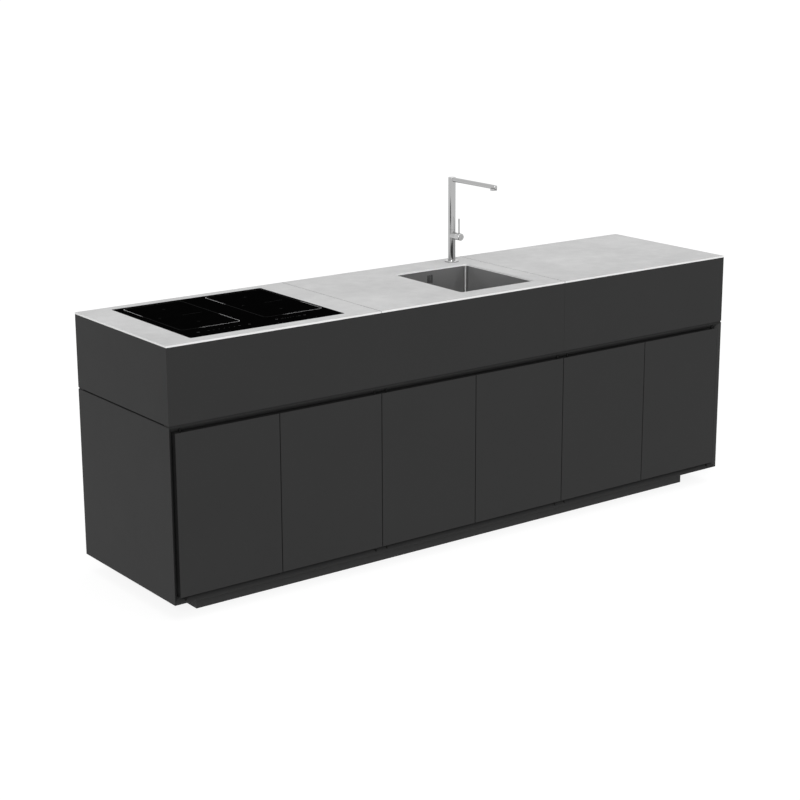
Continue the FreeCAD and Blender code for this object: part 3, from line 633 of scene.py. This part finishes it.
def zone_outline(x0, x1, level):
    """A cooking zone's outline: bright round two opposite corners, faint elsewhere.

    A running mean along the line softens the change from one to the other.
    """
    outline = rounded_outline(x0, x1, zone_front, zone_back, zone_corner, zone_corner_points)
    path = even_steps(outline, print_step)
    x, y = path[:, 0], path[:, 1]
    near_back_left = (x < x0 + zone_corner) & (y > zone_back - zone_side_run)
    near_front_right = (x > x1 - zone_corner) & (y < zone_front + zone_side_run)
    along_front = (y < zone_front + zone_corner) & (x > x1 - zone_front_run)
    bright = np.where(near_back_left | near_front_right | along_front, 1.0, 0.0)
    wrapped = np.pad(bright, zone_fade_points // 2, mode="wrap")
    soft = np.convolve(wrapped, np.ones(zone_fade_points) / zone_fade_points, mode="valid")
    return stroke(path, zone_line, zone_faint + zone_bright * soft, level)


def touch_symbols(x0, x1, y, level):
    """A row of touch marks: a ring with a stroke, minus, a run of ticks, plus, a small ring.

    They stand at even places along the row, and their sizes are shares of the symbol size.
    """
    size = symbol_size
    places = np.linspace(x0 + size, x1 - size, symbol_places)
    ring, minus, ticks, plus, end = places[0], places[2], places[3:8], places[8], places[10]
    tick = tick_reach * size
    strokes = [
        circle_path(ring, y, size, *ring_opening),
        bar_path(ring, y, ring, y + ring_stem * size),
        bar_path(minus - size, y, minus + size, y),
        *(bar_path(x, y - tick, x, y + tick) for x in ticks),
        bar_path(plus - size, y, plus + size, y),
        bar_path(plus, y - size, plus, y + size),
        circle_path(end, y, small_ring * size),
    ]
    return [stroke(path, symbol_line, symbol_bright, level) for path in strokes]


def zone_marks(x0, x1, level):
    """Faint marks in a zone: crosses behind, before and left of its middle, a bar right of it."""
    x, y = (x0 + x1) / 2, (zone_front + zone_back) / 2
    size = mark_size
    strokes = [bar_path(x + size, y, x + mark_side, y)]
    for u, v in ((x, y + mark_back), (x, y - mark_back), (x - mark_side, y)):
        strokes.append(bar_path(u - size, v, u + size, v))
        strokes.append(bar_path(u, v - size, u, v + size))
    return [stroke(path, symbol_line, mark_bright, level) for path in strokes]


def joined(name, parts, material):
    """One mesh object from several (points, quads, brightness) parts."""
    offsets = np.cumsum([0] + [len(points) for points, quads, shade in parts[:-1]])
    points = np.concatenate([part[0] for part in parts])
    quads = np.concatenate([part[1] + offset for part, offset in zip(parts, offsets)])
    shade = np.concatenate([part[2] for part in parts]).astype(np.float32)
    mesh = bpy.data.meshes.new(name)
    mesh.from_pydata(points.tolist(), [], quads.tolist())
    mesh.attributes.new("bright", "FLOAT", "POINT").data.foreach_set("value", shade)
    mesh.materials.append(material)
    piece = bpy.data.objects.new(name, mesh)
    scene.collection.objects.link(piece)
    return piece


def hob_markings():
    """All that is printed on the hob, as one thin piece on the glass."""
    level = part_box("hob_glass")[1].z
    parts = []
    for x0, x1 in zones.values():
        parts.append(zone_outline(x0, x1, level))
        parts += zone_marks(x0, x1, level)
    for x0, x1, y in symbol_rows.values():
        parts += touch_symbols(x0, x1, y, level)
    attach(joined("hob_markings", parts, glass_print("hob_print")), "cabinet")


def background_rays(tree):
    """1 for rays that show the background: seen directly, mirrored or through glass."""
    path = add(tree, "ShaderNodeLightPath").outputs
    seen = maths(tree, "MAXIMUM", path["Is Camera Ray"], path["Is Glossy Ray"])
    return maths(tree, "MAXIMUM", seen, path["Is Transmission Ray"])


def studio_floor():
    """A round white floor. Ring i, spoke j = radius[i] * (cos, sin)(turn[j]) at height 0.

    Triangles fill the first ring, and quads join each ring to the next.
    """
    radius = np.geomspace(floor_first_ring, floor_radius, floor_rings)
    turn = np.linspace(0.0, 2 * pi, floor_spokes, endpoint=False)
    rings = radius[:, None, None] * np.stack([np.cos(turn), np.sin(turn)], axis=1)[None]
    flat = np.concatenate([np.zeros((1, 2)), rings.reshape(-1, 2)])
    points = np.concatenate([flat, np.zeros((len(flat), 1))], axis=1)
    spoke = np.arange(floor_spokes)
    beside = (spoke + 1) % floor_spokes
    hub = np.stack([np.zeros_like(spoke), 1 + spoke, 1 + beside], axis=1)
    ring = 1 + floor_spokes * np.arange(floor_rings - 1)[:, None]
    wider = ring + floor_spokes
    quads = np.stack([ring + spoke, wider + spoke, wider + beside, ring + beside], axis=-1)
    mesh = bpy.data.meshes.new("studio_floor")
    mesh.from_pydata(points.tolist(), [], hub.tolist() + quads.reshape(-1, 4).tolist())
    material, tree, shader = new_finish("studio_floor")
    seen = background_rays(tree)
    fill(tree, shader, {"Base Color": blend(tree, seen, floor_colour, floor_shadow_colour),
                        "Roughness": 1.0,
                        "Specular IOR Level": 0.0,
                        "Emission Color": white,
                        "Emission Strength": maths(tree, "MULTIPLY", seen, floor_glow)})
    mesh.materials.append(material)
    floor = bpy.data.objects.new("studio_floor", mesh)
    scene.collection.objects.link(floor)


def studio_light():
    """White surroundings that light the object at the ambient level, and the lamps."""
    world = bpy.data.worlds.new("studio")
    scene.world = world
    world.use_nodes = True
    tree = world.node_tree
    seen = background_rays(tree)
    level = maths(tree, "MULTIPLY_ADD", seen, 1.0 - ambient_level, ambient_level)
    fill(tree, tree.nodes["Background"], {"Color": white, "Strength": level})
    for name, (direction, share, spread) in lamps.items():
        lamp = bpy.data.lights.new(name, "SUN")
        lamp.energy = share * pi
        lamp.angle = radians(spread)
        holder = bpy.data.objects.new(name, lamp)
        holder.rotation_euler = Vector(direction).to_track_quat("Z", "Y").to_euler()
        scene.collection.objects.link(holder)


def photo_camera():
    """The camera, at the photograph's place and framing."""
    lens = bpy.data.cameras.new("photo_camera")
    lens.sensor_width = camera_sensor
    lens.lens = camera_lens
    lens.shift_x, lens.shift_y = camera_shift
    holder = bpy.data.objects.new("photo_camera", lens)
    azimuth, tilt = radians(camera_azimuth), radians(camera_tilt)
    forward = Vector((sin(azimuth) * cos(tilt), cos(azimuth) * cos(tilt), -sin(tilt)))
    holder.location = camera_place
    holder.rotation_euler = forward.to_track_quat("-Z", "Y").to_euler()
    scene.collection.objects.link(holder)
    scene.camera = holder


hob_markings()
studio_floor()
studio_light()
photo_camera()
scene.view_settings.view_transform = "Standard"
